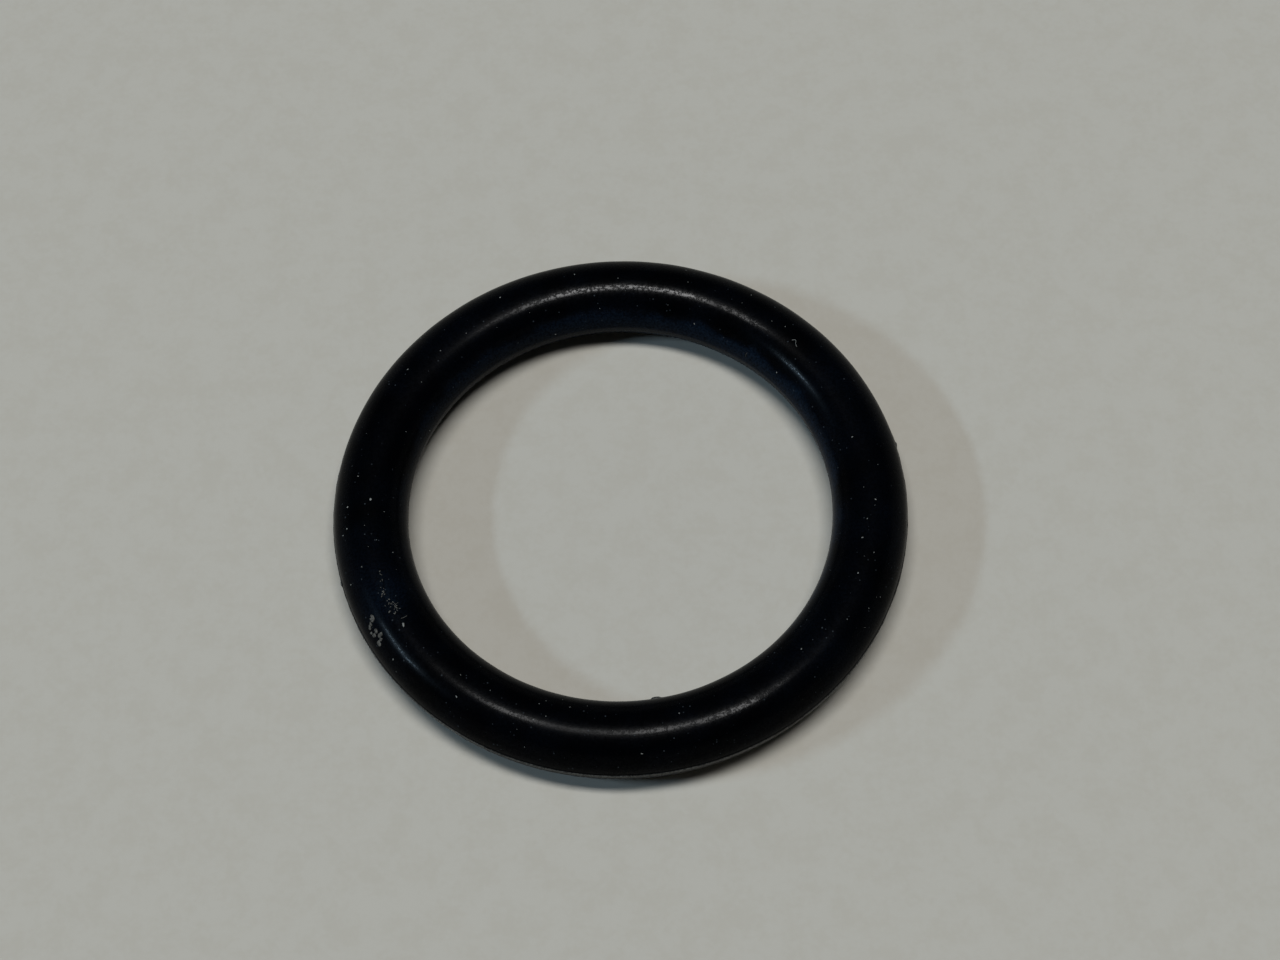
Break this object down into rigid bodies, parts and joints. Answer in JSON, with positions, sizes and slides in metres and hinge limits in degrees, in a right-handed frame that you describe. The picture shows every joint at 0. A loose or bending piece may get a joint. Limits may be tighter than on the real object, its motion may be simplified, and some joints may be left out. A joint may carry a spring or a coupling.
{
  "type": "rubber o-ring",
  "caption": "Round black rubber sealing ring of round section, with a fine trimmed mould line round its inside and outside.",
  "frame": {"origin": "centre of the ring, in the middle of its thickness, where the two mould halves met", "axes": "+Z along the ring's axis, upwards as it lies flat; +X and +Y across the ring, which is the same all round"},
  "size_m": [0.0274, 0.0274, 0.0036],
  "materials": {
    "rubber": "black moulded rubber, satin with a fine grain, lightly dusty",
    "dust": "pale grey dust and lint, matt and loose"
  },
  "bodies": {
    "root": {"o_ring": "rubber"}
  },
  "joints": []
}
